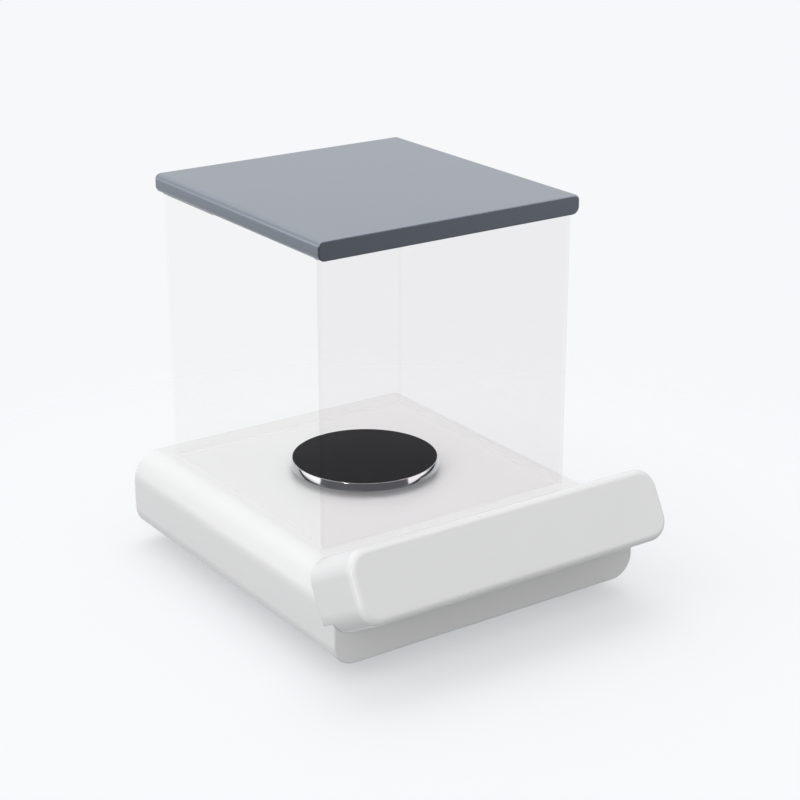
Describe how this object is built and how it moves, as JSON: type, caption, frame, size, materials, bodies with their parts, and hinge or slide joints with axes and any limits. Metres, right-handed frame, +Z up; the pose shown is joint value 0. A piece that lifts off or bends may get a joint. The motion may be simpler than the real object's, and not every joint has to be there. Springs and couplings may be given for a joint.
{
  "type": "analytical balance",
  "caption": "Laboratory balance: a low rounded base, a glass weighing chamber with a sliding lid, a round pan and a control panel that leans back against the front.",
  "frame": {"origin": "on the bench, under the middle of the balance's bounding box", "axes": "+Z up, +Y to the back, +X to the right of a person who faces the control panel; the balance is longest from front to back"},
  "size_m": [0.2162, 0.266, 0.2413],
  "materials": {
    "white_plastic": "satin moulded",
    "lid_metal": "blue-grey satin anodised",
    "clear_glass": "clear",
    "black_coat": "satin black",
    "polished_steel": "polished",
    "cast_aluminium": "as cast",
    "machined_aluminium": "machined",
    "steel": "zinc plated",
    "brass": "turned",
    "copper_wire": "enamelled winding",
    "black_rubber": "matte",
    "clear_silicone": "translucent",
    "grey_plastic": "moulded",
    "black_plastic": "moulded",
    "circuit_board": "solder resist",
    "display_glass": "gloss",
    "flat_cable": "film"
  },
  "bodies": {
    "root": {"base_cover": "white_plastic", "panel_housing": "white_plastic", "panel_back": "white_plastic", "glass_front": "clear_glass", "glass_back": "clear_glass", "glass_left": "clear_glass", "glass_right": "clear_glass", "bottom_plate": "cast_aluminium", "cell_frame": "machined_aluminium", "bottom_plate_screws": "steel", "cell_screws": "steel", "guide_screws": "steel", "board_screws": "steel", "panel_screws": "steel", "touch_board_screws": "steel", "magnet_pot": "steel", "magnet_core": "steel", "foot_bush_left": "brass", "foot_bush_right": "brass", "front_foot_left": "black_rubber", "front_foot_right": "black_rubber", "shield_gasket": "clear_silicone", "lid_guide_left": "grey_plastic", "lid_guide_right": "grey_plastic", "draught_collar": "grey_plastic", "dc_inlet": "black_plastic", "data_socket": "black_plastic", "position_sensor": "black_plastic", "main_board": "circuit_board", "io_board": "circuit_board", "touch_board": "circuit_board", "display_module": "display_glass", "display_cable": "flat_cable"},
    "lid": {"lid_cover": "lid_metal", "lid_plate": "grey_plastic", "lid_screws": "steel", "lid_stops": "grey_plastic"},
    "carrier": {"hanger": "machined_aluminium", "hanger_screws": "steel", "pan_support": "machined_aluminium"},
    "pan": {"pan": "polished_steel", "pan_inlay": "black_coat"},
    "upper_guide": {"upper_guide": "machined_aluminium"},
    "lower_guide": {"lower_guide": "machined_aluminium"},
    "lever": {"lever": "machined_aluminium", "coil": "copper_wire"},
    "foot_left": {"foot_pad_left": "black_rubber"},
    "foot_right": {"foot_pad_right": "black_rubber"},
    "spindle_left": {"foot_spindle_left": "steel"},
    "spindle_right": {"foot_spindle_right": "steel"}
  },
  "joints": [
    {"name": "lid_slide", "type": "slide", "parent": "root", "child": "lid", "axis": [0, 1, 0], "range_m": [0, 0.11]},
    {"name": "weighing", "type": "slide", "parent": "root", "child": "carrier", "axis": [0, 0, 1], "range_m": [-0.0003, 0], "stiffness_N_per_m": 2000, "springref_m": 0.003},
    {"name": "pan_lift_off", "type": "slide", "parent": "carrier", "child": "pan", "axis": [0, 0, 1], "range_m": [0, 0.1]},
    {"name": "upper_guide_flex", "type": "hinge", "parent": "root", "child": "upper_guide", "pos_m": [0, 0.06751, 0.04975], "axis": [1, 0, 0], "range_deg": [0, 0.7]},
    {"name": "lower_guide_flex", "type": "hinge", "parent": "root", "child": "lower_guide", "pos_m": [0, 0.06751, 0.02275], "axis": [1, 0, 0], "range_deg": [0, 0.7]},
    {"name": "lever_tilt", "type": "hinge", "parent": "root", "child": "lever", "pos_m": [0, 0.04801, 0.03787], "axis": [1, 0, 0], "range_deg": [0, 1.8]},
    {"name": "foot_left_extend", "type": "slide", "parent": "root", "child": "foot_left", "axis": [0, 0, -1], "range_m": [0, 0.004]},
    {"name": "foot_left_turn", "type": "hinge", "parent": "foot_left", "child": "spindle_left", "pos_m": [-0.074, 0.10001, 0.01], "axis": [0, 0, -1], "range_deg": [0, 1153]},
    {"name": "foot_right_extend", "type": "slide", "parent": "root", "child": "foot_right", "axis": [0, 0, -1], "range_m": [0, 0.004]},
    {"name": "foot_right_turn", "type": "hinge", "parent": "foot_right", "child": "spindle_right", "pos_m": [0.074, 0.10001, 0.01], "axis": [0, 0, -1], "range_deg": [0, 1153]}
  ],
  "couplings": [
    {"joint": "upper_guide_flex", "follows": "weighing", "rad_per_m": -35.461},
    {"joint": "lower_guide_flex", "follows": "weighing", "rad_per_m": -35.461},
    {"joint": "lever_tilt", "follows": "weighing", "rad_per_m": -95.238},
    {"joint": "foot_left_turn", "follows": "foot_left_extend", "rad_per_m": 5026.5},
    {"joint": "foot_right_turn", "follows": "foot_right_extend", "rad_per_m": 5026.5}
  ]
}
